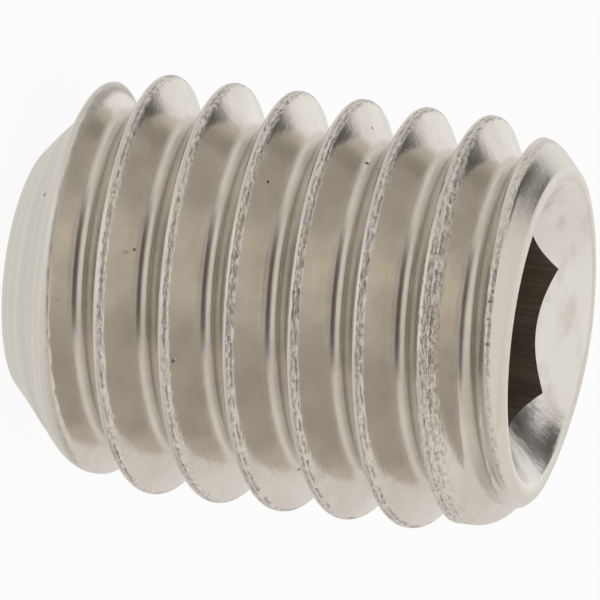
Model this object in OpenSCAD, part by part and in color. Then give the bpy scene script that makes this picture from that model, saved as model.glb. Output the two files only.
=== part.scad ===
// Socket set screw with a cup point: it stands on the rim of its point, hex socket upward.
// Millimetres. The thread is right-hand, its axis is +Z and z = 0 is the rim of the point.

/* [Thread] */
// Diameter over the crests
major_d = 7.76; // [7.6:0.02:7.98]
// Distance from one crest to the next
pitch = 1.25; // [1.1:0.05:1.4]
// Depth from the crest to the root
thread_depth = 0.78; // [0.62:0.01:0.8]
// Radius of the rolled crest
crest_r = 0.125; // [0.06:0.005:0.15]
// Height of the first crest above the point's rim, on the +X side
crest_z = 0.17; // [0:0.01:1.2]
// How far the unfinished first turn stays below the full crest
start_drop = 0.25; // [0:0.01:0.4]
// Turn of the thread by which the crest has become full
start_turns = 1.5; // [1:0.1:2.5]
// How far the start of the thread swells above the cone of the point
start_swell = 0.28; // [0:0.01:0.35]
// How far the last turn stays below the full crest
end_drop = 0.3; // [0:0.01:0.4]
// How far the crest swells above the shoulder where it runs into the rim
end_swell = 0.42; // [0:0.01:0.5]
// How far the last groove is filled up where it runs out
end_fill = 0.12; // [0:0.01:0.3]

/* [Body] */
// Length from the point's rim to the highest spot of the socket end
length = 10.05; // [9.7:0.05:16]
// Radius of the rounding between the crests and the socket end
shoulder_r = 2.4; // [1.5:0.1:3.5]
// Outside diameter of the flat rim on the socket end
rim_d = 6.18; // [6:0.02:7.2]
// Lean of the socket end, where the last crest lifts one side of the rim
rim_lean = 2.6; // [0:0.1:4]
// Depth of the shallow dip in the rim where the last groove meets it
rim_dip = 0.1; // [0:0.01:0.2]

/* [Point] */
// Diameter over the rim of the cup
point_d = 4.56; // [4:0.02:5.4]
// Included angle of the cone behind the point
point_angle = 94; // [80:1:120]
// Width of the flat rim of the cup
cup_rim = 0.16; // [0.1:0.02:0.4]
// Included angle of the hollow in the cup
cup_angle = 118; // [90:1:130]

/* [Socket] */
// Width of the hex socket across its flats
hex_af = 4; // [3:0.05:4.2]
// Depth of the hex measured from the highest spot of the rim
hex_depth = 5; // [3:0.1:6]
// Turn of the hex about the axis
hex_turn = 1.85; // [0:0.05:60]
// Diameter of the countersink at the rim
sink_d = 5.7; // [5:0.05:6]
// Included angle of the countersink
sink_angle = 90; // [80:1:120]
// Included angle of the drill point below the hex
drill_angle = 118; // [100:1:140]

/* [Hidden] */
steel = [0.62, 0.6, 0.56];
major_r = major_d / 2;
point_r = point_d / 2;
rim_r = rim_d / 2;
cup_r = point_r - cup_rim;
cup_depth = cup_r / tan(cup_angle / 2);

// Sharp thread height, and what the crest leaves for the root's radius
sharp_h = pitch * cos(30);
root_r = sharp_h - thread_depth - crest_r;
arc_steps = 4;
arc_from = -60;
crest_mid = major_r - crest_r;
root_mid = major_r - thread_depth + root_r;

// One pitch of the thread form as [height, radius], from the middle of one crest to the next
crest_up = [for (k = [0 : arc_steps / 2]) let (a = 120 / arc_steps * k)
    [crest_r * sin(a), crest_mid + crest_r * cos(a)]];
root_arc = [for (k = [0 : arc_steps]) let (a = arc_from + 120 / arc_steps * k)
    [pitch / 2 + root_r * sin(a), root_mid - root_r * cos(a)]];
crest_down = [for (k = [arc_steps / 2 : -1 : 1]) let (a = 120 / arc_steps * k)
    [pitch - crest_r * sin(a), crest_mid + crest_r * cos(a)]];
flank_steps = 3;
function between(p, q) = [for (k = [1 : flank_steps - 1]) p + (q - p) * k / flank_steps];
flank_a = between(crest_up[len(crest_up) - 1], root_arc[0]);
flank_b = between(root_arc[len(root_arc) - 1], crest_down[0]);
form = concat(crest_up, flank_a, root_arc, flank_b, crest_down);
rows = len(form);

// Shoulder arc from the crests to the flat rim
shoulder_x = major_r - shoulder_r;
rim_mid_z = length - rim_r * tan(rim_lean);
shoulder_z = rim_mid_z - sqrt(pow(shoulder_r, 2) - pow(rim_r - shoulder_x, 2));

// The thread runs past both ends and is cut to length there
seg = 36;
z_first = crest_z - pitch * (1 + ceil((crest_z + 0.2) / pitch));
turns = ceil((length + 0.2 - z_first) / pitch);
steps = seg * turns;

// Turn, counted from crest_z, at which the last crest meets the rim, and the side that it lifts
end_turn = (rim_mid_z - crest_z) / pitch;
lift_side = 360 * end_turn - 12;
dip_side = lift_side + 130;
dip_span = 60;

// Smooth rise and fall round a middle, and a smooth step from 0 to 1
function bump(x, mid, half) = 0.5 + 0.5 * cos(180 * max(-1, min(1, (x - mid) / half)));
function ease(x, from, to) = let (k = max(0, min(1, (x - from) / (to - from)))) k * k * (3 - 2 * k);
function side(a, b) = abs((((a - b) % 360) + 540) % 360 - 180);

// Crest height along the turns: low at the start, low again in the last turn
function start_cap(turn) = major_r - start_drop * (1 - ease(turn, start_turns - 0.5, start_turns));
function end_cap(turn) = major_r - end_drop * ease(turn, end_turn - 0.9, end_turn - 0.74);
function root_floor(turn) = major_r - thread_depth + end_fill * bump(turn, end_turn - 0.78, 0.42);
function start_lift(turn, off) = start_swell * bump(turn, 0.48, 0.42) * exp(-pow((off - 0.13) / 0.2, 2));
function end_lift(turn) = end_swell * bump(turn, end_turn, 0.4);

// Radius of the blank's two ends: the cone of the point, and the shoulder arc up to the flat rim
function cone_at(z) = max(1, point_r + z * tan(point_angle / 2));
function lean_at(a) = rim_r * cos(side(a, lift_side)) * tan(rim_lean);
function dip_at(a) = rim_dip * bump(side(a, dip_side), 0, dip_span);
function shoulder_up(z, a) = max(0, z - lean_at(a) + dip_at(a) - shoulder_z);
function shoulder_at(z, a) = shoulder_x + sqrt(max(1, pow(shoulder_r, 2) - pow(shoulder_up(z, a), 2)));
function form_point(i, j) =
    let (a = 360 / seg * i, crest = z_first + pitch * i / seg, z = crest + form[j][0])
    let (groove = (crest - crest_z) / pitch, upper = form[j][0] > pitch / 2 ? 1 : 0)
    let (turn = groove + upper, off = form[j][0] - upper * pitch)
    let (start = min(cone_at(z) + start_lift(turn, off), start_cap(turn)))
    let (blend = exp(-pow(off / 0.22, 2)), lift = end_lift(turn))
    let (end = min(shoulder_at(z, a) + lift * blend, end_cap(turn) + lift * 0.45))
    let (r = min(max(form[j][1], root_floor(groove)), start, end))
    [r * cos(a), r * sin(a), z];
function at(i, j) = j < rows ? i * rows + j : (i + seg) * rows;

sink_depth = (sink_d / 2 - hex_af / 2) / tan(sink_angle / 2);
clear = 0.5;

module thread_rod() {
    last = steps + seg;
    points = [for (i = [0 : last]) for (j = [0 : rows - 1]) form_point(i, j)];
    low = len(points);
    sheet_a = [for (i = [0 : steps - 1]) for (j = [0 : rows - 1]) [at(i, j), at(i, j + 1), at(i + 1, j + 1)]];
    sheet_b = [for (i = [0 : steps - 1]) for (j = [0 : rows - 1]) [at(i, j), at(i + 1, j + 1), at(i + 1, j)]];
    bottom = [for (i = [0 : seg - 1]) [low, at(i, 0), at(i + 1, 0)]];
    bottom_step = [for (j = [0 : rows - 1]) [low, at(0, j + 1), at(0, j)]];
    top = [for (i = [steps : last - 1]) [low + 1, at(i + 1, 0), at(i, 0)]];
    top_step = [for (j = [0 : rows - 1]) [low + 1, at(steps, j), at(steps, j + 1)]];
    ends = [[0, 0, z_first - pitch], [0, 0, z_first + pitch * (turns + 2)]];
    polyhedron(concat(points, ends), concat(sheet_a, sheet_b, bottom, bottom_step, top, top_step), convexity = 12);
}

// The end of the blank, cut slightly out of square
module end_cut() {
    translate([0, 0, rim_mid_z])
        rotate([0, 0, lift_side])
            rotate([0, -rim_lean, 0])
                translate([0, 0, length / 2])
                    cube([major_d * 2, major_d * 2, length], center = true);
}

// Shallow hollow across one side of the rim
module rim_hollow() {
    half = rim_r * sin(dip_span);
    hollow_r = (half * half + rim_dip * rim_dip) / 2 / (rim_dip + 0.001);
    translate([0, 0, rim_mid_z + lean_at(dip_side) - rim_dip + hollow_r])
        rotate([0, 0, dip_side])
            rotate([0, 90, 0])
                cylinder(h = major_d, r = hollow_r, $fn = 360);
}

module hex_socket() {
    translate([0, 0, length - hex_depth])
        rotate([0, 0, hex_turn])
            cylinder(h = hex_depth + clear, d = hex_af / cos(30), $fn = 6);
    drill_h = hex_af / 2 / tan(drill_angle / 2);
    translate([0, 0, length - hex_depth - drill_h])
        cylinder(h = drill_h + 0.01, r1 = 0, r2 = hex_af / 2 + 0.01 * tan(drill_angle / 2), $fn = 48);
}

module countersink() {
    grow = clear * tan(sink_angle / 2);
    translate([0, 0, rim_mid_z])
        rotate([0, 0, lift_side])
            rotate([0, -rim_lean, 0])
                translate([0, 0, -sink_depth - clear])
                    cylinder(h = sink_depth + clear * 2, r1 = hex_af / 2 - grow, r2 = sink_d / 2 + grow, $fn = 72);
}

module cup() {
    grow = clear * tan(cup_angle / 2);
    translate([0, 0, -clear])
        cylinder(h = cup_depth + clear, r1 = cup_r + grow, r2 = 0, $fn = 72);
}

module set_screw() {
    color(steel)
        difference() {
            intersection() {
                thread_rod();
                cylinder(h = length, r = major_d);
            }
            end_cut();
            rim_hollow();
            hex_socket();
            countersink();
            cup();
        }
}

set_screw();
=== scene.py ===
import math
import bpy
import numpy as np
from mathutils import Matrix, Vector


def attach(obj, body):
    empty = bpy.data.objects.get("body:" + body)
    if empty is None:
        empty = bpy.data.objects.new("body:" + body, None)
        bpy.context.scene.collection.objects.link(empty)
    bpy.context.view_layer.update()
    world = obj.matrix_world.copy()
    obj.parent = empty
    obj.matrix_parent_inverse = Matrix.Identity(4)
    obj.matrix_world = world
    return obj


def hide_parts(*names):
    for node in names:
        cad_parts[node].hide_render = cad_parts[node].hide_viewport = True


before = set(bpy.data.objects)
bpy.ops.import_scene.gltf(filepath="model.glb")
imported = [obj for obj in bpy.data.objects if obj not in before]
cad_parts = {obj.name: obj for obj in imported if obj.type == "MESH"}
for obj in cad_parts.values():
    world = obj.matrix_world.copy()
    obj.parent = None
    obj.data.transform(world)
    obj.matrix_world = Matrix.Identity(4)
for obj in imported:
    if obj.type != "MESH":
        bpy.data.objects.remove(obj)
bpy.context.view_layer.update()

# Sizes are in millimetres until finishPiece shrinks the piece to metres.
# Turns are counted along the helix from the lowest crest on the +X side.
thread = {
    "majorR": 3.872,
    "pitch": 1.25,
    "depth": 0.78,
    "crestR": 0.125,
    "phase": 0.1371,                  # crest height at +X, in pitches
    "startDrop": 0.25,                # how far the first turn stays below the full crest
    "startFull": (1.0, 1.5),          # turns between which it fills up
    "startSwell": 0.28,               # how far the thread's start swells above the cone
    "startSwellAt": (0.48, 0.42),     # turn and half width in turns
    "startSwellOff": (0.13, 0.2),     # distance from the crest, and width
    "startRound": (0.08, 0.2),        # rounding of the first crest, and what is added to it
    "startRoundGrows": (0.7, 0.95),
    "endDrop": 0.30,                  # how far the last turn stays below the full crest
    "endLow": (6.88, 7.04),
    "endSwell": 0.42,                 # how far the last crest lifts where it meets the rim
    "endSwellAt": (7.78, 0.40),
    "endSwellWidth": 0.22,
    "endSwellCap": 0.45,              # share of that lift that the crest itself gets
    "fill": 0.12,                     # how far the last groove is filled
    "fillAt": (7.0, 0.42),
    "clear": 0.05,                    # caps and floors stay this far off a full thread
    "soften": 0.03,                   # rounding where the thread runs into the shoulder
    "softenStart": 0.05,              # the same at the cone
    "softenRoot": 0.1,
    "softenCap": 0.05,
    "waves": ((0.006, 2.3, 1.0), (0.004, 7.1, 0.0)),   # height, waves in a turn, phase
    "waveWidth": 0.12,
}
blank = {
    "pointR": 2.28,
    "coneAngle": 47.0,
    "coneAside": 0.03,                # the cone is turned this far off the axis
    "coneAsideRise": (0, 0.3),
    "cupR": 2.12,
    "cupDepth": 1.27,
    "cupMiddleR": 1.0,
    "cupEdge": ((-0.03, 0.018), (0.01, 0.002), (0.06, 0.0)),
    "pointEdge": ((-0.05, 0.0), (-0.012, 0.006)),
    "shoulderR": 2.4,
    "shoulderX": 1.472,
    "rimZ": 9.9,
    "rimR": 3.09,
    "rimEdge": ((0.008, -0.012), (-0.02, -0.001)),
    "rimCrown": 0.004,
    "sinkR": 2.84,
    "sinkEdge": ((0.01, -0.004), (-0.03, -0.02), (-0.07, -0.055)),
    "sinkBottomR": 1.9,
    "sinkRows": 12,
    "plugR": 0.9,                     # the middle that the socket cuts away
    "lean": 2.6,                      # the last crest lifts the rim on the -Y side
    "leanRise": (8.0, 9.6),
    "dip": 0.10,
    "dipAt": 40.0,
    "dipHalf": 60.0,
    "dipRise": (9.2, 9.8),
    "skin": (0.02, 0.03),             # from the point's rim and up to the socket's rim
    "skinFound": (0.015, 0.01, 0.012),
    "rowStep": 0.0305,
    "around": 256,
    "mergeWithin": 0.0008,
    "smoothAngle": 32.0,
}
socket = {
    "across": 4.0,
    "depth": 5.0,
    "top": 10.05,
    "over": 1.0,                      # how far the hex tool stands out of the mouth
    "turn": 1.85,
    "drillAngle": 118.0,
    "drillSides": 48,
    "drillInset": 0.02,
    "drillLap": 0.01,
    "mouthFrom": 8.5,                 # faces above this that look up belong to the mouth
    "mouthSlope": 0.35,
    "mouthLap": 0.05,
    "insideFrom": 2.5,
    "insideLap": 0.01,
    "inward": 0.2,
}
photoCamera = {
    "look": (0.0, 0.0, 4.894),
    "elevation": 17.33,
    "roll": 7.37,
    "aside": (0.1354, 0.0225),
    "distance": 460.0,
    "frameWidth": 11.055,
    "sensor": 36.0,
    "clip": (0.01, 50),
}


def clearSelection():
    if bpy.context.object and bpy.context.object.mode != "OBJECT":
        bpy.ops.object.mode_set(mode="OBJECT")
    bpy.ops.object.select_all(action="DESELECT")


def selectOnly(piece):
    clearSelection()
    piece.select_set(True)
    bpy.context.view_layer.objects.active = piece


def softMin(a, b, k):
    h = np.clip(0.5 + 0.5 * (b - a) / k, 0, 1)
    return b + (a - b) * h - k * h * (1 - h)


def softMax(a, b, k):
    return -softMin(-a, -b, k)


def bump(x, mid, half):
    return 0.5 + 0.5 * np.cos(np.pi * np.clip((x - mid) / half, -1, 1))


def bell(x, width):
    return np.exp(-(x / width) ** 2)


def ease(x, low, high):
    k = np.clip((x - low) / (high - low), 0, 1)
    return k * k * (3 - 2 * k)


def threadRadius(s):
    # full thread form; s is the height in pitches, whole at each crest
    t = thread
    w = np.abs(s - np.round(s)) * t["pitch"]
    half = t["pitch"] / 2
    slant = math.cos(math.radians(30))
    rootR = t["pitch"] * slant - t["depth"] - t["crestR"]
    crestMid = t["majorR"] - t["crestR"]
    rootMid = t["majorR"] - t["depth"] + rootR
    crestW = t["crestR"] * slant
    rootW = half - rootR * slant
    crest = crestMid + np.sqrt(np.maximum(t["crestR"] ** 2 - w ** 2, 0))
    flank = crestMid + t["crestR"] / 2 - (w - crestW) * math.sqrt(3)
    root = rootMid - np.sqrt(np.maximum(rootR ** 2 - (half - w) ** 2, 0))
    return np.where(w < crestW, crest, np.where(w > rootW, root, flank))


def coneR(z):
    return blank["pointR"] + z * math.tan(math.radians(blank["coneAngle"]))


def shoulderR(z):
    b = blank
    centreZ = b["rimZ"] - math.sqrt(b["shoulderR"] ** 2 - (b["rimR"] - b["shoulderX"]) ** 2)
    up = np.maximum(z - centreZ, 0)
    return b["shoulderX"] + np.sqrt(np.maximum(b["shoulderR"] ** 2 - up ** 2, 0.5))


def outerR(z):
    return np.minimum(np.minimum(coneR(z), shoulderR(z)), thread["majorR"])


def sectionPoints():
    # half section of the blank, from the middle of the cup to the middle of the mouth
    b = blank
    midR = b["cupMiddleR"]
    points = [(0.0, b["cupDepth"]), (midR, b["cupDepth"] * (1 - midR / b["cupR"]))]
    points += [(b["cupR"] + r, z) for r, z in b["cupEdge"]]
    points += [(b["pointR"] + r, z) for r, z in b["pointEdge"]]
    low, high = b["skin"][0], b["rimZ"] - b["skin"][1]
    rows = int(round((high - low) / b["rowStep"]))
    for i in range(rows + 1):
        z = low + (high - low) * i / rows
        points.append((float(outerR(np.array(z))), z))
    points += [(b["rimR"] + r, b["rimZ"] + z) for r, z in b["rimEdge"]]
    for k in (0.75, 0.5, 0.25):
        crown = b["rimCrown"] * math.sin(math.pi * k)
        points.append((b["sinkR"] + (b["rimR"] - b["sinkR"]) * k, b["rimZ"] + crown))
    points += [(b["sinkR"] + r, b["rimZ"] + z) for r, z in b["sinkEdge"]]
    sinkR, sinkZ = points[-1]
    drop = sinkR - b["sinkBottomR"]
    for i in range(1, b["sinkRows"] + 1):
        k = i / b["sinkRows"]
        points.append((sinkR - drop * k, sinkZ - drop * k))
    points += [(b["plugR"], sinkZ - drop), (0.0, sinkZ - drop)]
    return points


def drawProfile(points):
    bpy.ops.mesh.primitive_plane_add(size=1, location=(0, 0, 0))
    profile = bpy.context.object
    bpy.ops.object.mode_set(mode="EDIT")
    bpy.ops.mesh.merge(type="CENTER")
    bpy.ops.transform.translate(value=(points[0][0], 0, points[0][1]))
    for before, after in zip(points, points[1:]):
        step = (after[0] - before[0], 0, after[1] - before[1])
        bpy.ops.mesh.extrude_region_move(TRANSFORM_OT_translate={"value": step})
    return profile


def turnBlank():
    clearSelection()
    piece = drawProfile(sectionPoints())
    piece.name = piece.data.name = "setScrewThread"
    bpy.ops.mesh.select_all(action="SELECT")
    bpy.ops.mesh.spin(steps=blank["around"], angle=2 * math.pi, center=(0, 0, 0), axis=(0, 0, 1))
    bpy.ops.mesh.select_all(action="SELECT")
    bpy.ops.mesh.remove_doubles(threshold=blank["mergeWithin"])
    bpy.ops.mesh.normals_make_consistent(inside=False)
    bpy.ops.object.mode_set(mode="OBJECT")
    return piece


def vertexPlaces(mesh):
    flat = np.empty(len(mesh.vertices) * 3)
    mesh.vertices.foreach_get("co", flat)
    return flat.reshape(-1, 3)


def rollThread(piece):
    # press the thread into the turned blank, and let its last crest lift the rim
    t, b = thread, blank
    mesh = piece.data
    xyz = vertexPlaces(mesh)
    x, y, z = xyz.T
    r = np.hypot(x, y)
    angle = np.arctan2(y, x)
    turn = (angle / (2 * math.pi)) % 1.0
    above, below, reach = b["skinFound"]
    outer = (z > above) & (z < b["rimZ"] + below) & (np.abs(r - outerR(z)) < reach)
    aside = (np.degrees(angle) - b["dipAt"] + 180) % 360 - 180
    dip = b["dip"] * bump(aside, 0, b["dipHalf"]) * ease(z, *b["dipRise"])
    raised = z - y * math.tan(math.radians(b["lean"])) * ease(z, *b["leanRise"]) - dip

    s = raised / t["pitch"] - turn - t["phase"]
    crest = np.round(s)
    along = crest + turn
    off = (s - crest) * t["pitch"]
    groove = np.floor(s) + turn
    floor = t["majorR"] - t["depth"] - t["clear"]
    floor = floor + (t["fill"] + t["clear"]) * bump(groove, *t["fillAt"])
    rolled = softMax(threadRadius(s), floor, t["softenRoot"])
    wave = sum(h * np.sin(along * 2 * math.pi * n + p) for h, n, p in t["waves"])
    rolled = rolled + wave * bell(off, t["waveWidth"])

    top = t["majorR"] + t["clear"]
    startCap = top - (t["startDrop"] + t["clear"]) * (1 - ease(along, *t["startFull"]))
    swellOff, swellWidth = t["startSwellOff"]
    swell = t["startSwell"] * bump(along, *t["startSwellAt"]) * bell(off - swellOff, swellWidth)
    point = coneR(raised) - b["coneAside"] * np.cos(angle) * ease(raised, *b["coneAsideRise"])
    least, more = t["startRound"]
    start = softMin(point + swell, startCap, least + more * ease(along, *t["startRoundGrows"]))

    lift = t["endSwell"] * bump(along, *t["endSwellAt"])
    endCap = top - (t["endDrop"] + t["clear"]) * ease(along, *t["endLow"])
    endCap = endCap + t["endSwellCap"] * lift
    end = shoulderR(z) + lift * bell(off, t["endSwellWidth"])

    shaped = softMin(rolled, start, t["softenStart"])
    shaped = softMin(shaped, end, t["soften"])
    shaped = softMin(shaped, endCap, t["softenCap"])
    newR = np.where(outer, np.minimum(shaped, t["majorR"]), r)
    scale = np.where(r > 1e-6, newR / np.maximum(r, 1e-6), 1.0)
    xyz[:, 0] = x * scale
    xyz[:, 1] = y * scale
    xyz[:, 2] = raised
    mesh.vertices.foreach_set("co", xyz.ravel())
    mesh.update()


def cutSocket(piece):
    s = socket
    bottom = s["top"] - s["depth"]
    hexDepth = s["depth"] + s["over"]
    drillDepth = s["across"] / 2 / math.tan(math.radians(s["drillAngle"] / 2))
    clearSelection()
    bpy.ops.mesh.primitive_cylinder_add(
        vertices=6, radius=s["across"] / 2 / math.cos(math.radians(30)), depth=hexDepth,
        location=(0, 0, bottom + hexDepth / 2), rotation=(0, 0, math.radians(s["turn"] - 30)))
    hexTool = bpy.context.object
    bpy.ops.object.transform_apply(location=True, rotation=True, scale=True)
    clearSelection()
    bpy.ops.mesh.primitive_cone_add(
        vertices=s["drillSides"], radius1=s["across"] / 2 - s["drillInset"], radius2=0,
        depth=drillDepth, location=(0, 0, bottom + s["drillLap"] - drillDepth / 2),
        rotation=(math.pi, 0, 0))
    drillTool = bpy.context.object
    bpy.ops.object.transform_apply(location=True, rotation=True, scale=True)
    for tool in (hexTool, drillTool):
        cut = piece.modifiers.new("cut", "BOOLEAN")
        cut.operation = "DIFFERENCE"
        cut.solver = "EXACT"
        cut.object = tool
        selectOnly(piece)
        bpy.ops.object.modifier_apply(modifier=cut.name)
        bpy.data.objects.remove(tool)


def finishPiece(piece):
    selectOnly(piece)
    bpy.ops.object.mode_set(mode="EDIT")
    bpy.ops.mesh.select_all(action="SELECT")
    bpy.ops.transform.resize(value=(0.001, 0.001, 0.001), center_override=(0, 0, 0))
    bpy.ops.object.mode_set(mode="OBJECT")
    bpy.ops.object.transform_apply(location=True, rotation=True, scale=True)
    bpy.ops.object.shade_smooth_by_angle(angle=math.radians(blank["smoothAngle"]))


wear = {
    "pointTop": 1.7,              # the turned point and its hollow lie below this
    "pointRimTop": 0.02,
    "hollowR": 2.2,
    "turnedEdge": 0.12,
    "tornEdge": 0.11,
    "tornFrom": (0.1, 2.3),       # height and radius from which the edge is torn
    "shortBy": 0.05,              # a crest this much too low is bare
    "shortFrom": 3.45,
    "bareComes": (6.45, 6.8),
    "bareGoes": (7.15, 7.3),
    "bareStart": (1.0, 1.6, 0.5), # above which height, up to which turn, and how much
}


def markWear(piece):
    # masks on the vertices: what no roller touched, its torn edge, and crests never filled
    w = wear
    mesh = piece.data
    x, y, z = vertexPlaces(mesh).T * 1000
    r = np.hypot(x, y)
    turn = (np.arctan2(y, x) / (2 * math.pi)) % 1.0
    s = z / thread["pitch"] - turn - thread["phase"]
    along = np.round(s) + turn
    rolled = threadRadius(s)
    gap = rolled - (coneR(z) - blank["coneAside"] * np.cos(2 * math.pi * turn))
    low = z < w["pointTop"]
    turned = np.clip(0.5 + gap / w["turnedEdge"], 0, 1) * low
    turned = np.where((z < w["pointRimTop"]) | ((r < w["hollowR"]) & low), 1.0, turned)
    tornZ, tornR = w["tornFrom"]
    torn = bell(gap, w["tornEdge"]) * low * (z > tornZ) * (r > tornR)
    short = np.clip((rolled - r) / w["shortBy"], 0, 1) * (r > w["shortFrom"])
    late = ease(along, *w["bareComes"]) * (1 - ease(along, *w["bareGoes"]))
    fromZ, toTurn, share = w["bareStart"]
    early = share * (z > fromZ) * (along < toTurn) * (1 - turned)
    for name, values in (("turned", turned), ("torn", torn), ("bare", short * (late + early))):
        layer = mesh.attributes.new(name, "FLOAT", "POINT")
        layer.data.foreach_set("value", np.ascontiguousarray(values, dtype=np.float32))


class NodeDesk:
    # short names for the few node types that the shaders use
    def __init__(self, tree):
        self.tree = tree
        self.link = tree.links.new

    def put(self, socket, value):
        if isinstance(value, (int, float)):
            socket.default_value = value
        elif isinstance(value, tuple):
            full = len(value) == len(socket.default_value)
            socket.default_value = value if full else (*value, 1)
        else:
            self.link(value, socket)

    def math(self, operation, *values):
        node = self.tree.nodes.new("ShaderNodeMath")
        node.operation = operation
        for socket, value in zip(node.inputs, values):
            self.put(socket, value)
        return node.outputs[0]

    def chain(self, operation, values):
        total = values[0]
        for value in values[1:]:
            total = self.math(operation, total, value)
        return total

    def times(self, *values):
        return self.chain("MULTIPLY", values)

    def plus(self, *values):
        return self.chain("ADD", values)

    def most(self, *values):
        return self.chain("MAXIMUM", values)

    def minus(self, first, second):
        return self.math("SUBTRACT", first, second)

    def gap(self, first, second):
        return self.math("ABSOLUTE", self.minus(first, second))

    def swing(self, noise, amount):
        return self.times(self.minus(noise, 0.5), amount)

    def ramp(self, value, low, high):
        node = self.tree.nodes.new("ShaderNodeMapRange")
        node.interpolation_type = "SMOOTHSTEP"
        self.put(node.inputs["From Min"], low)
        self.put(node.inputs["From Max"], high)
        self.put(node.inputs["Value"], value)
        return node.outputs[0]

    def combine(self, x, y, z):
        node = self.tree.nodes.new("ShaderNodeCombineXYZ")
        for socket, value in zip(node.inputs, (x, y, z)):
            self.put(socket, value)
        return node.outputs[0]

    def separate(self, vector):
        node = self.tree.nodes.new("ShaderNodeSeparateXYZ")
        self.link(vector, node.inputs[0])
        return list(node.outputs)

    def coords(self, name):
        return self.tree.nodes.new("ShaderNodeTexCoord").outputs[name]

    def noise(self, vector, scale, detail=3.0, roughness=0.6):
        node = self.tree.nodes.new("ShaderNodeTexNoise")
        self.put(node.inputs["Vector"], vector)
        self.put(node.inputs["Scale"], scale)
        self.put(node.inputs["Detail"], detail)
        self.put(node.inputs["Roughness"], roughness)
        return node.outputs["Fac"]

    def blend(self, factor, first, second):
        node = self.tree.nodes.new("ShaderNodeMix")
        node.data_type = "RGBA"
        sockets = [i for i in node.inputs if i.type == "RGBA"]
        self.put(node.inputs[0], factor)
        self.put(sockets[0], first)
        self.put(sockets[1], second)
        return [o for o in node.outputs if o.type == "RGBA"][0]

    def fade(self, factor, first, second):
        node = self.tree.nodes.new("ShaderNodeMix")
        self.put(node.inputs["Factor"], factor)
        self.put(node.inputs["A"], first)
        self.put(node.inputs["B"], second)
        return node.outputs["Result"]

    def mixShader(self, factor, first, second):
        node = self.tree.nodes.new("ShaderNodeMixShader")
        for socket, output in zip(node.inputs, (factor, first, second)):
            self.link(output, socket)
        return node.outputs[0]

    def shader(self, kind, color):
        node = self.tree.nodes.new(kind)
        self.put(node.inputs["Color"], color)
        return node.outputs[0]

    def group(self, tree, **values):
        node = self.tree.nodes.new("ShaderNodeGroup")
        node.node_tree = tree
        for name, value in values.items():
            self.put(node.inputs[name], value)
        return node.outputs

    def attribute(self, name):
        node = self.tree.nodes.new("ShaderNodeAttribute")
        node.attribute_name = name
        return node.outputs["Fac"]


def newGroup(name, inputs, outputs):
    tree = bpy.data.node_groups.new(name, "ShaderNodeTree")
    for title in inputs:
        tree.interface.new_socket(title, in_out="INPUT", socket_type="NodeSocketFloat")
    for title in outputs:
        kind = "NodeSocketVector" if title == "Spot" else "NodeSocketFloat"
        tree.interface.new_socket(title, in_out="OUTPUT", socket_type=kind)
    given = tree.nodes.new("NodeGroupInput").outputs
    out = tree.nodes.new("NodeGroupOutput").inputs
    return tree, NodeDesk(tree), given, out


place = {
    "runR": 3.8,          # radius at which lengths along the crest are taken
    "runPerTurn": 23.9,
}


def makePlaceGroup():
    # place on the screw in millimetres: radius, height, distance from the crest,
    # length along the crest, way round, and the point itself
    names = ["Radius", "Height", "Off", "Run", "Round", "Spot"]
    tree, desk, given, out = newGroup("placeOnScrew", [], names)
    x, y, z = [desk.times(part, 1000.0) for part in desk.separate(desk.coords("Object"))]
    turn = desk.math("FRACT", desk.math("DIVIDE", desk.math("ARCTAN2", y, x), 2 * math.pi))
    pitches = desk.math("DIVIDE", z, thread["pitch"])
    s = desk.minus(desk.minus(pitches, turn), thread["phase"])
    crest = desk.math("ROUND", s)
    values = {
        "Radius": desk.math("SQRT", desk.plus(desk.times(x, x), desk.times(y, y))),
        "Height": z,
        "Off": desk.times(desk.minus(s, crest), thread["pitch"]),
        "Run": desk.times(desk.plus(crest, turn), 2 * math.pi * place["runR"]),
        "Round": desk.times(turn, 2 * math.pi),
        "Spot": desk.combine(x, y, z),
    }
    for name in names:
        desk.link(values[name], out[name])
    return tree


grain = {
    "fine": (22.0, 2.0),
    "dents": (3.2, 3.0),
    "shade": (1.1, 4.0, 0.65),
    "pitCells": 1.5,
    "pitShare": 0.80,             # cells above this hold a pit
    "pitEdge": (0.075, 0.03),
}


def makeGrainGroup():
    # fine grain of worn steel, small dents and a few pits
    names = ["Height", "Shade", "Pit"]
    tree, desk, given, out = newGroup("steelGrain", ["Fine", "Dents", "Pits"], names)
    scale = tree.nodes.new("ShaderNodeVectorMath")
    scale.operation = "SCALE"
    desk.link(desk.coords("Object"), scale.inputs[0])
    scale.inputs["Scale"].default_value = 1000
    spot = scale.outputs[0]
    fine = desk.noise(spot, *grain["fine"])
    dents = desk.noise(spot, *grain["dents"])
    cells = tree.nodes.new("ShaderNodeTexVoronoi")
    desk.put(cells.inputs["Vector"], spot)
    desk.put(cells.inputs["Scale"], grain["pitCells"])
    pick = tree.nodes.new("ShaderNodeSeparateColor")
    desk.link(cells.outputs["Color"], pick.inputs[0])
    chosen = desk.math("GREATER_THAN", pick.outputs[0], grain["pitShare"])
    hole = desk.ramp(cells.outputs["Distance"], *grain["pitEdge"])
    pit = desk.times(hole, chosen, given["Pits"])
    height = desk.plus(desk.times(fine, given["Fine"]), desk.times(dents, given["Dents"]))
    desk.link(desk.minus(height, pit), out["Height"])
    desk.link(desk.noise(spot, *grain["shade"]), out["Shade"])
    desk.link(pit, out["Pit"])
    return tree


def newMaterial(name):
    material = bpy.data.materials.new(name)
    material.use_nodes = True
    tree = material.node_tree
    tree.nodes.clear()
    out = tree.nodes.new("ShaderNodeOutputMaterial")
    shader = tree.nodes.new("ShaderNodeBsdfPrincipled")
    shader.inputs["Metallic"].default_value = 1
    tree.links.new(shader.outputs[0], out.inputs[0])
    return material, NodeDesk(tree), shader


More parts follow.
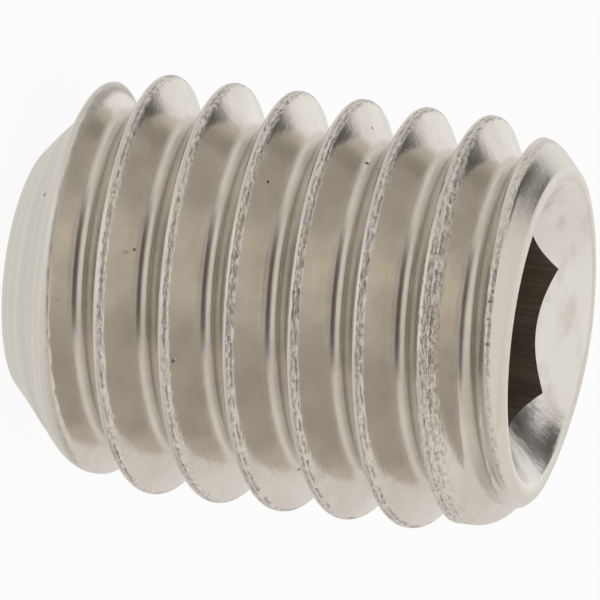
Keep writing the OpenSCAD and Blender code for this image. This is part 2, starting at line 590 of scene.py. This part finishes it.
def addBump(desk, shader, height):
    node = desk.tree.nodes.new("ShaderNodeBump")
    node.inputs["Strength"].default_value = 1.0
    node.inputs["Distance"].default_value = steel["bumpDepth"]
    desk.put(node.inputs["Height"], height)
    desk.link(node.outputs[0], shader.inputs["Normal"])


steel = {
    "bright": (0.70, 0.66, 0.595),
    "worn": (0.63, 0.59, 0.53),
    "turned": (0.78, 0.76, 0.695),
    "turnedLine": (0.69, 0.67, 0.61),
    "hollow": (0.50, 0.475, 0.43),
    "tornLight": (0.78, 0.75, 0.69),
    "crown": (0.655, 0.62, 0.56),
    "seamLight": (0.78, 0.75, 0.70),
    "seamDark": (0.45, 0.41, 0.355),
    "mouth": (0.76, 0.735, 0.69),
    "rim": (0.65, 0.62, 0.54),
    "pit": (0.10, 0.08, 0.06),
    # the next two colours paint shade into the hex socket: its walls are coloured dark brown, a
    # little lighter along the drawn streaks
    "socket": (0.37, 0.305, 0.25),
    "socketShadeLight": (0.50, 0.42, 0.35),
    "threadRoughness": (0.14, 0.10),      # least, and what the shade adds
    "rootRoughness": 0.35,
    "turnedRoughness": 0.42,
    "hollowRoughness": 0.33,
    "crownRoughness": 0.25,
    "seamRoughness": 0.36,
    "tornRoughness": 0.6,
    "mouthRoughness": (0.17, 0.14),
    "socketRoughness": 0.45,
    "bumpDepth": 0.00002,
}
# The rough band that the rollers left on the crests: distances from the crest in
# millimetres, and from and to which turn each part of it comes or goes
seam = {
    "low": (-0.035, 0.005),
    "high": (0.142, 0.082),
    "ragged": (6.0, 0.07),                # scale of the ragged edge, and its height
    "fromR": (3.3, 3.5),
    "goes": (7.02, 6.8),
    "widens": (6.54, 6.70),
    "widensBy": 0.13,
    "bareShare": 0.85,
    "lip": ((-0.13, -0.09), (0.01, -0.03)),
    "lipComes": (7.30, 7.45),
    "lipShare": 0.9,
    "specks": (17.0, 2.0, 0.6),
    "rag": (8.0, 2.0, 0.5),
    "speckEdge": (0.38, 0.54),
    "tint": 0.6,
    "bumps": (1.5, 1.3),                  # heights of the specks and of the rag
    # two dotted folds, the second only where the seam has become wide enough for it
    "secondFold": (2.9, 3.6),
    "foldA": (0.045, 0.003),
    "foldB": (0.092, 0.135),
    "foldEdges": ((0.024, 0.008), (0.024, 0.010)),
    "foldDots": (0.42, 0.56),
    "foldTint": 0.42,
    "foldDepth": 0.7,
}
marks = {
    "shade": (0.35, 0.68),
    "lines": (16.0, 0.35),                # lathe lines: scale across and round
    "lineEdge": (0.35, 0.65),
    "lineDepth": 0.30,
    "root": (0.44, 0.52),
    "crown": (9.50, 9.72),
    "hollow": ((2.15, 2.09), (1.5, 1.3)),
    "flakes": (4.0, 3.0, 0.65),
    "flakeEdge": (0.42, 0.58),
    "tornTint": 0.4,
    "tornDepth": 1.2,
    "drag": (14.0, 0.12, 10.0),           # scratches along the flanks
    "dragDepth": 0.10,
    "nickTint": 0.7,
    # single nicks, with their place and size in millimetres
    "nicks": [
        (1.358, -3.447, 3.852, 0.055), (-0.564, -3.198, 2.757, 0.040),
        (-0.605, -3.263, 3.181, 0.045), (3.044, -0.689, 5.657, 0.060),
        (-0.895, -3.590, 9.770, 0.040), (-0.451, -3.672, 9.790, 0.055),
        (-0.129, -3.698, 9.810, 0.045), (0.322, -3.686, 9.840, 0.050),
        (0.706, -3.632, 9.860, 0.035),
    ],
    "nickEdge": 0.35,
}


def turnRamp(desk, at, turns):
    low, high = [place["runPerTurn"] * turn for turn in turns]
    return desk.ramp(at["Run"], low, high)


def seamParts(desk, at, turned, along):
    # mask of the seam, mask of its folds, and its two noises
    k = seam
    scale, amount = k["ragged"]
    edge = desk.plus(at["Off"], desk.swing(desk.noise(along, scale), amount))
    wide = turnRamp(desk, at, k["widens"])
    far = desk.minus(edge, desk.times(wide, k["widensBy"]))
    band = desk.times(
        desk.ramp(edge, *k["low"]), desk.ramp(far, *k["high"]),
        desk.ramp(at["Radius"], *k["fromR"]), desk.minus(1.0, turned),
        turnRamp(desk, at, k["goes"]))
    bare = desk.times(desk.attribute("bare"), k["bareShare"])
    # ragged lip where the last crest runs into the rim
    lip = desk.times(
        desk.ramp(edge, *k["lip"][0]), desk.ramp(edge, *k["lip"][1]),
        turnRamp(desk, at, k["lipComes"]), k["lipShare"])
    mask = desk.most(band, bare, lip)
    specks, rag = desk.noise(along, *k["specks"]), desk.noise(along, *k["rag"])
    second = turnRamp(desk, at, k["secondFold"])
    foldA = desk.gap(edge, desk.fade(second, *k["foldA"]))
    foldB = desk.gap(edge, desk.fade(wide, *k["foldB"]))
    edgeA, edgeB = k["foldEdges"]
    folds = desk.most(desk.ramp(foldA, *edgeA), desk.times(second, desk.ramp(foldB, *edgeB)))
    folds = desk.times(folds, mask, desk.ramp(rag, *k["foldDots"]))
    return mask, folds, specks, rag


def nickMask(desk, at):
    dents = []
    for x, y, z, size in marks["nicks"]:
        reach = desk.tree.nodes.new("ShaderNodeVectorMath")
        reach.operation = "DISTANCE"
        desk.link(at["Spot"], reach.inputs[0])
        reach.inputs[1].default_value = (x, y, z)
        dents.append(desk.ramp(reach.outputs["Value"], size, size * marks["nickEdge"]))
    return desk.most(*dents)


def makeThreadSteel(placeGroup, grainGroup):
    k, m = steel, marks
    material, desk, shader = newMaterial("threadSteel")
    at = desk.group(placeGroup)
    worn = desk.group(grainGroup, Fine=0.03, Dents=0.25, Pits=1.0)
    turned, torn = desk.attribute("turned"), desk.attribute("torn")
    along = desk.combine(desk.times(at["Run"], 0.5), at["Off"], 0.0)
    seamMask, folds, specks, rag = seamParts(desk, at, turned, along)
    nick = nickMask(desk, at)
    across, way = m["lines"]
    ring = desk.combine(desk.times(at["Height"], across), desk.times(at["Round"], way), 0.0)
    lines = desk.noise(ring, 1.0, 3.0, 0.7)
    lineShare = desk.ramp(lines, *m["lineEdge"])
    flakes = desk.noise(desk.combine(at["Run"], at["Height"], 0.0), *m["flakes"])
    crown = desk.ramp(at["Height"], *m["crown"])
    root = desk.ramp(desk.math("ABSOLUTE", at["Off"]), *m["root"])
    root = desk.times(root, desk.minus(1.0, turned))
    hollowR, hollowZ = m["hollow"]
    hollow = desk.times(desk.ramp(at["Radius"], *hollowR), desk.ramp(at["Height"], *hollowZ))

    least, more = k["threadRoughness"]
    rough = desk.plus(desk.times(worn["Shade"], more), least)
    for mask, name in ((turned, "turned"), (crown, "crown"), (root, "root"),
                       (seamMask, "seam"), (torn, "torn"), (hollow, "hollow")):
        rough = desk.fade(mask, rough, k[name + "Roughness"])

    color = desk.blend(desk.ramp(worn["Shade"], *m["shade"]), k["bright"], k["worn"])
    color = desk.blend(turned, color, desk.blend(lineShare, k["turned"], k["turnedLine"]))
    color = desk.blend(crown, color, k["crown"])
    color = desk.blend(hollow, color, desk.blend(lineShare, k["hollow"], k["worn"]))
    seamColor = desk.blend(desk.ramp(specks, *seam["speckEdge"]), k["seamDark"], k["seamLight"])
    color = desk.blend(desk.times(seamMask, seam["tint"]), color, seamColor)
    color = desk.blend(desk.times(folds, seam["foldTint"]), color, k["pit"])
    tornColor = desk.blend(desk.ramp(flakes, *m["flakeEdge"]), k["worn"], k["tornLight"])
    color = desk.blend(desk.times(torn, m["tornTint"]), color, tornColor)
    dark = desk.most(worn["Pit"], desk.times(nick, m["nickTint"]))
    color = desk.blend(dark, color, k["pit"])

    slide = [desk.times(at[n], f) for n, f in zip(("Radius", "Run", "Off"), m["drag"])]
    drag = desk.noise(desk.combine(*slide), 1.0, 2.0)
    speckBump, ragBump = seam["bumps"]
    rise = desk.plus(
        worn["Height"], desk.times(drag, m["dragDepth"]),
        desk.times(lines, turned, m["lineDepth"]),
        desk.times(seamMask, desk.plus(desk.swing(specks, speckBump), desk.swing(rag, ragBump))),
        desk.times(torn, desk.swing(flakes, m["tornDepth"])))
    sunk = desk.plus(nick, desk.times(folds, seam["foldDepth"]))
    desk.put(shader.inputs["Base Color"], color)
    desk.put(shader.inputs["Roughness"], rough)
    addBump(desk, shader, desk.minus(rise, sunk))
    return material


mouth = {
    "blotch": (2.6, 2.0, 2.0),            # where the punch pressed the steel
    "blotchEdge": (0.28, 0.56),
    "streak": (9.0, 1.0, 0.8),            # faint lines down the cone
    "streakDepth": 0.45,
    "rim": (2.80, 2.90),
}


def makeMouthSteel(placeGroup, grainGroup):
    k = steel
    material, desk, shader = newMaterial("mouthSteel")
    at = desk.group(placeGroup)
    worn = desk.group(grainGroup, Fine=0.07, Dents=0.45, Pits=0.3)

    def spread(factors):
        names = ("Round", "Radius", "Height")
        return desk.combine(*[desk.times(at[n], f) for n, f in zip(names, factors)])

    blotch = desk.noise(spread(mouth["blotch"]), 1.0, 3.0, 0.55)
    streak = desk.noise(spread(mouth["streak"]), 1.0)
    color = desk.blend(desk.ramp(blotch, *mouth["blotchEdge"]), k["worn"], k["mouth"])
    color = desk.blend(desk.ramp(at["Radius"], *mouth["rim"]), color, k["rim"])
    color = desk.blend(worn["Pit"], color, k["pit"])
    least, more = k["mouthRoughness"]
    desk.put(shader.inputs["Base Color"], color)
    desk.put(shader.inputs["Roughness"], desk.plus(desk.times(blotch, more), least))
    height = desk.plus(worn["Height"], desk.times(streak, mouth["streakDepth"]))
    addBump(desk, shader, height)
    return material


def makeShadedSocketSteel(placeGroup, grainGroup):
    k = steel
    material, desk, shader = newMaterial("shadedSocketSteel")
    at = desk.group(placeGroup)
    worn = desk.group(grainGroup, Fine=0.15, Dents=0.6, Pits=0.5)
    walls = desk.combine(desk.times(at["Round"], 26.0), desk.times(at["Height"], 0.5), 0.0)
    drawn = desk.noise(walls, 1.0, 2.0)
    # painted shade: the socket's walls are coloured dark brown, lighter where the drawn streaks
    # run
    color = desk.blend(desk.ramp(drawn, 0.35, 0.7), k["socket"], k["socketShadeLight"])
    color = desk.blend(worn["Pit"], color, k["pit"])
    desk.put(shader.inputs["Base Color"], color)
    shader.inputs["Roughness"].default_value = k["socketRoughness"]
    addBump(desk, shader, desk.plus(worn["Height"], drawn))
    return material


def dressPiece(piece):
    s = socket
    groups = makePlaceGroup(), makeGrainGroup()
    mesh = piece.data
    mesh.materials.clear()
    for make in (makeThreadSteel, makeMouthSteel, makeShadedSocketSteel):
        mesh.materials.append(make(*groups))
    hexR = s["across"] / 2 / math.cos(math.radians(30))
    for face in mesh.polygons:
        c, n = face.center * 1000, face.normal
        r = math.hypot(c.x, c.y)
        inward = n.x * c.x + n.y * c.y < s["inward"] * r
        upward = c.z > s["mouthFrom"] and n.z > s["mouthSlope"]
        inMouth = inward and upward and r > s["across"] / 2 - s["mouthLap"]
        inHex = inward and c.z > s["insideFrom"] and r < hexR + s["insideLap"]
        face.material_index = 1 if inMouth else 2 if inHex else 0


def makeCamera():
    c = photoCamera
    data = bpy.data.cameras.new("photoCamera")
    camera = bpy.data.objects.new("photoCamera", data)
    bpy.context.scene.collection.objects.link(camera)
    data.lens = c["sensor"] * c["distance"] / c["frameWidth"]
    data.sensor_width = c["sensor"]
    data.clip_start, data.clip_end = c["clip"]
    el, roll = math.radians(c["elevation"]), math.radians(c["roll"])
    along = Vector((0, math.sin(el), math.cos(el)))
    across = Vector((1, 0, 0))
    back = Vector((0, -math.cos(el), math.sin(el)))
    right = math.cos(roll) * along - math.sin(roll) * across
    up = -(math.sin(roll) * along + math.cos(roll) * across)
    spot = Vector(c["look"]) + right * c["aside"][0] + up * c["aside"][1]
    spot += back * c["distance"]
    matrix = Matrix((right, up, back)).transposed().to_4x4()
    matrix.translation = spot * 0.001
    camera.matrix_world = matrix
    bpy.context.scene.camera = camera


studio = {
    "floorSize": 3,
    "floorColor": (0.86, 0.86, 0.86),
    "floorGlow": 0.92,
    "white": (1.0, 1.0, 1.0),
    "tent": (0.87, 0.85, 0.835),
    # softer walls and gaps of the light tent: direction from the front towards -X, height,
    # half sizes of both, width of the soft edge (all in degrees), colour
    "walls": [
        ("ceiling", 0, 74, 181, 22, 14, (0.95, 0.94, 0.93)),
        ("overhead", 169, 16, 21, 18, 9, (1.0, 0.99, 0.985)),
        ("lowerBack", -140, 20, 44, 25, 15, (0.86, 0.82, 0.81)),
        ("lowerFront", 17, -44, 31, 20, 18, (0.99, 0.965, 0.92)),
        ("frontSill", 8, -20, 46, 9, 7, (1.0, 0.985, 0.96)),
        ("frontHaze", 50, 20, 10, 20, 14, (0.45, 0.44, 0.42)),
        ("frontGap", 4, 21.5, 41, 21, 6, (0.085, 0.08, 0.07)),
        ("upperLeft", 84, -28, 30, 15, 10, (0.72, 0.71, 0.70)),
        ("lowerLeft", -79, -28, 53, 17, 14, (0.70, 0.67, 0.64)),
        ("lowerSide", -120, -22, 14, 10, 9, (0.48, 0.465, 0.44)),
        ("upperSide", 120, -16, 12, 9, 7, (0.47, 0.455, 0.435)),
        ("upperGap", 128, 34, 27, 10, 7, (0.08, 0.078, 0.073)),
        ("sideGap", 112, 42, 14, 11, 7, (0.055, 0.055, 0.052)),
    ],
}


def makeFloor():
    clearSelection()
    bpy.ops.mesh.primitive_plane_add(size=studio["floorSize"], location=(0, 0, 0))
    floor = bpy.context.object
    floor.name = "studioFloor"
    material = bpy.data.materials.new("paleFloor")
    material.use_nodes = True
    tree = material.node_tree
    tree.nodes.clear()
    desk = NodeDesk(tree)
    out = tree.nodes.new("ShaderNodeOutputMaterial")
    path = tree.nodes.new("ShaderNodeLightPath")
    side = tree.nodes.new("ShaderNodeNewGeometry")
    plain = desk.shader("ShaderNodeBsdfDiffuse", studio["floorColor"])
    glow = desk.shader("ShaderNodeEmission", studio["white"])
    clear = tree.nodes.new("ShaderNodeBsdfTransparent").outputs[0]
    share = desk.times(path.outputs["Is Camera Ray"], studio["floorGlow"])
    seen = desk.mixShader(share, plain, glow)
    # the steel mirrors the tent below the floor, and from below the floor isn't there
    mirrored = desk.mixShader(path.outputs["Is Glossy Ray"], seen, clear)
    desk.link(desk.mixShader(side.outputs["Backfacing"], mirrored, clear), out.inputs[0])
    floor.data.materials.append(material)


def makeWorld():
    world = bpy.data.worlds.new("lightTent")
    bpy.context.scene.world = world
    world.use_nodes = True
    tree = world.node_tree
    tree.nodes.clear()
    desk = NodeDesk(tree)
    out = tree.nodes.new("ShaderNodeOutputWorld")
    path = tree.nodes.new("ShaderNodeLightPath")
    x, y, z = desk.separate(desk.coords("Generated"))
    degrees = 180 / math.pi
    aside = desk.times(desk.math("ARCTAN2", desk.times(x, -1), desk.times(y, -1)), degrees)
    level = desk.times(desk.math("ARCSINE", z), degrees)

    def band(value, middle, half, soft):
        return desk.ramp(desk.gap(value, middle), half + soft / 2, half - soft / 2)

    color = studio["tent"]
    for name, middle, height, halfWide, halfTall, soft, wallColor in studio["walls"]:
        mask = desk.times(band(aside, middle, halfWide, soft), band(level, height, halfTall, soft))
        color = desk.blend(mask, color, wallColor)
        color.node.label = name
    lit = desk.shader("ShaderNodeBackground", color)
    seen = desk.shader("ShaderNodeBackground", studio["white"])
    desk.link(desk.mixShader(path.outputs["Is Camera Ray"], lit, seen), out.inputs[0])


makeCamera()
makeFloor()
makeWorld()
print("stage ready")

screw = turnBlank()
print("blank turned", len(screw.data.vertices))
rollThread(screw)
print("thread rolled")
cutSocket(screw)
print("socket cut", len(screw.data.polygons))
finishPiece(screw)
markWear(screw)
dressPiece(screw)
print("steel dressed")
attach(screw, "root")
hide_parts("set_screw")

bpy.context.scene.view_settings.view_transform = "Standard"
